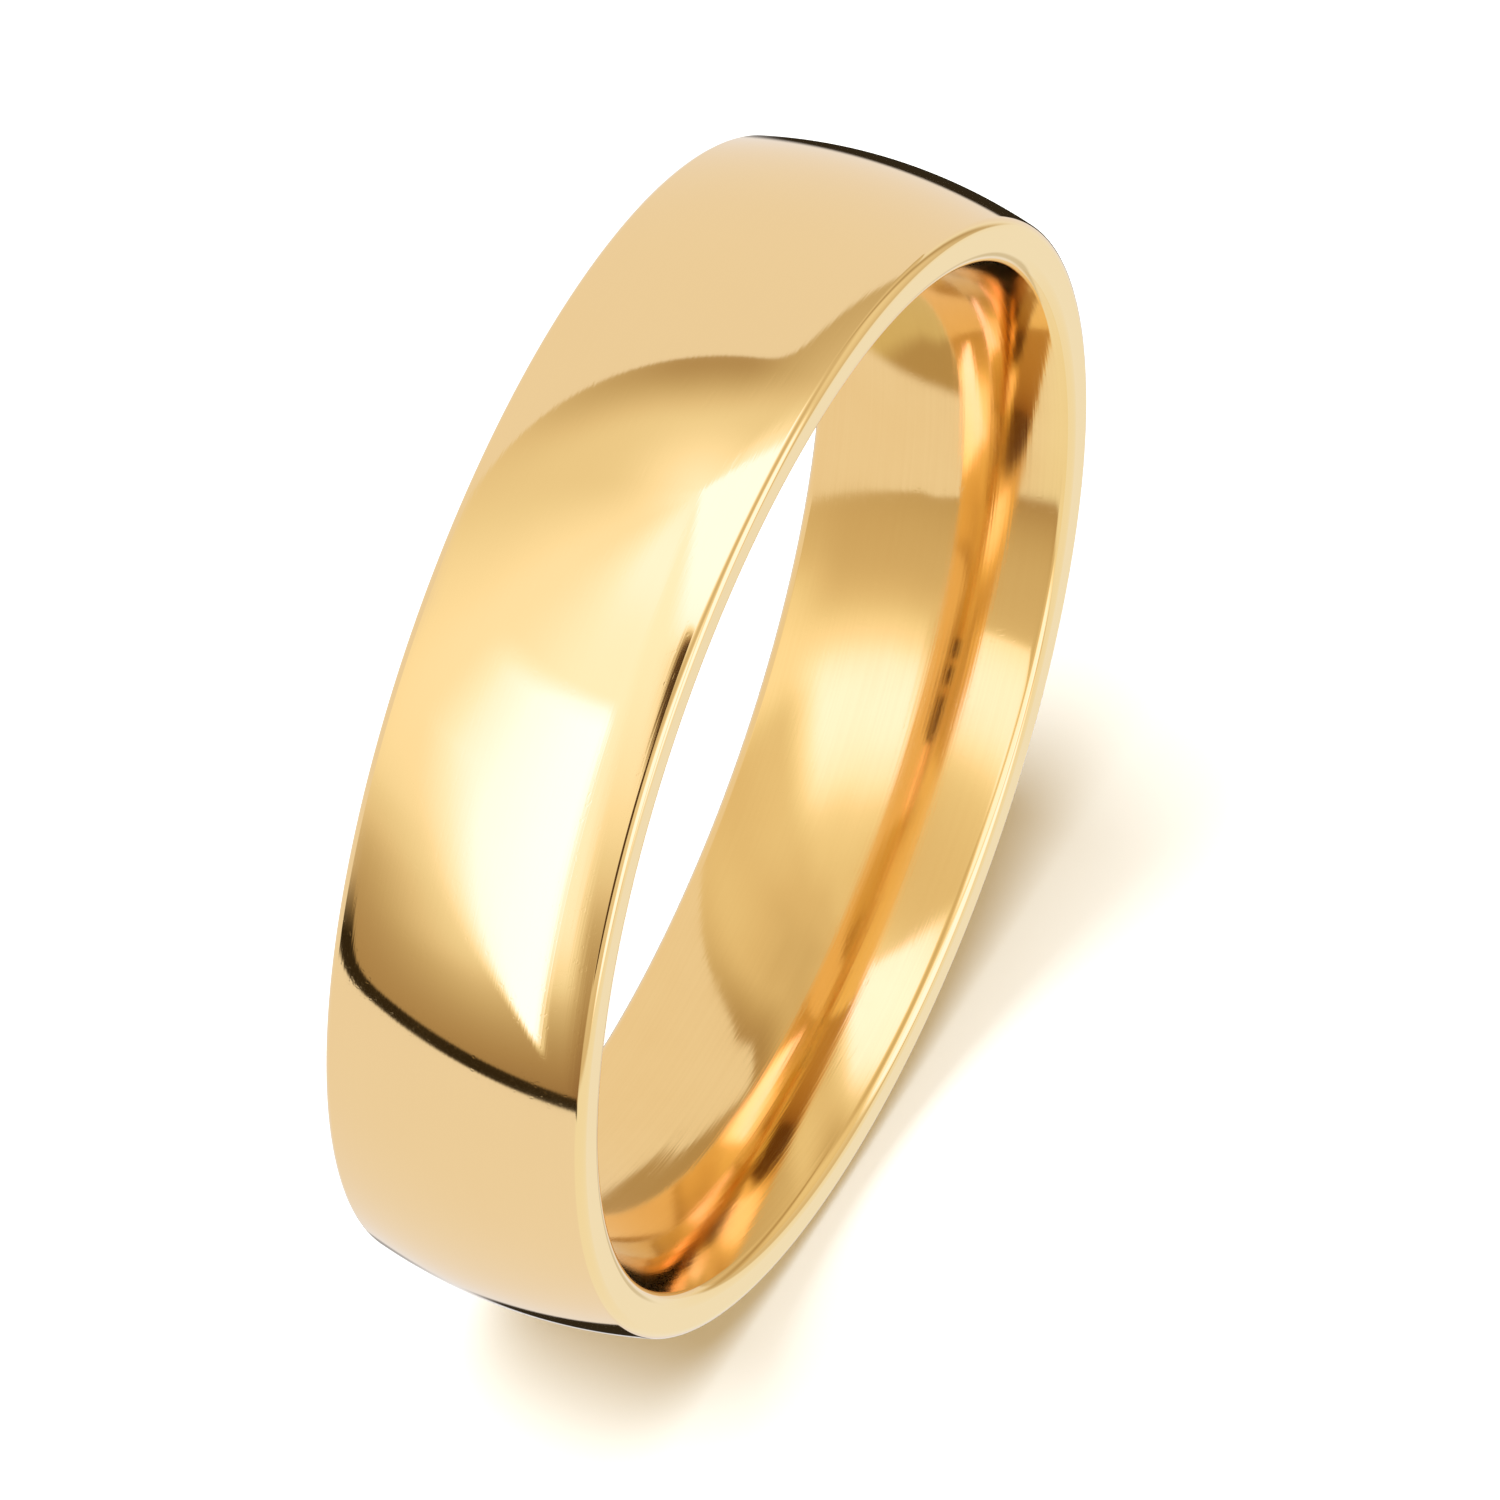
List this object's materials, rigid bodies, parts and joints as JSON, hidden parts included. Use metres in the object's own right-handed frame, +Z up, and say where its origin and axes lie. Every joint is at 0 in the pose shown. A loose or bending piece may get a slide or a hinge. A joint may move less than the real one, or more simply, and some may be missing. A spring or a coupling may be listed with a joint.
{
  "type": "wedding band",
  "caption": "Plain court-profile wedding band: a closed ring domed outside and inside, with eased rims and a round finger hole.",
  "frame": {"origin": "centre of the finger hole, which is also the centre of the ring's box", "axes": "+Y along the ring's axis (the finger), +Z up with the ring standing on its edge, +X to the right"},
  "size_m": [0.0212, 0.005, 0.0212],
  "materials": {
    "polished_gold": "mirror-polished yellow gold, softer polish inside"
  },
  "bodies": {
    "root": {"band": "polished_gold"}
  },
  "joints": []
}
